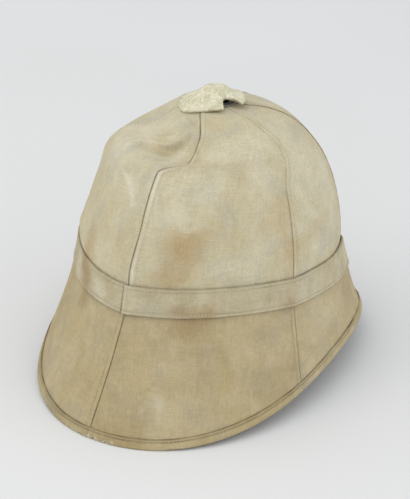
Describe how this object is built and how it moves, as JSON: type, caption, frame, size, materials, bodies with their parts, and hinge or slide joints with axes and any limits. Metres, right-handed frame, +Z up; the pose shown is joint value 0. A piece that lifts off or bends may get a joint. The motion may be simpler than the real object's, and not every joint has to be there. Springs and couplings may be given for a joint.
{
  "type": "pith helmet",
  "caption": "Cloth-covered sun helmet with a tall domed crown, a plain band, a deep sloping brim bound at the edge and a domed ventilator cap on top.",
  "frame": {"origin": "middle of the helmet's length and width, on the floor that its rim stands on", "axes": "+Z up, -Y to the front of the helmet, +Y to its rear, +X to the wearer's left"},
  "size_m": [0.243, 0.3243, 0.2259],
  "materials": {
    "crown_cloth": "matte cotton twill, sun-faded and stained",
    "brim_cloth": "matte cotton twill, darker and stained",
    "band_cloth": "matte folded cotton, stitched along both edges",
    "binding_cloth": "matte folded cotton strip, stitched, worn at the edge",
    "cap_paint": "worn cream paint, mottled, satin to matte",
    "collar_metal": "dull tinned metal"
  },
  "bodies": {
    "root": {"crown_panel_front_left": "crown_cloth", "brim_panel_front_left": "brim_cloth", "crown_panel_side_left": "crown_cloth", "brim_panel_side_left": "brim_cloth", "crown_panel_rear_left": "crown_cloth", "brim_panel_rear_left": "brim_cloth", "crown_panel_rear_right": "crown_cloth", "brim_panel_rear_right": "brim_cloth", "crown_panel_side_right": "crown_cloth", "brim_panel_side_right": "brim_cloth", "crown_panel_front_right": "crown_cloth", "brim_panel_front_right": "brim_cloth", "hat_band": "band_cloth", "rim_binding": "binding_cloth", "ventilator_cap": "cap_paint", "ventilator_collar": "collar_metal", "ventilator_stem": "collar_metal"}
  },
  "joints": []
}
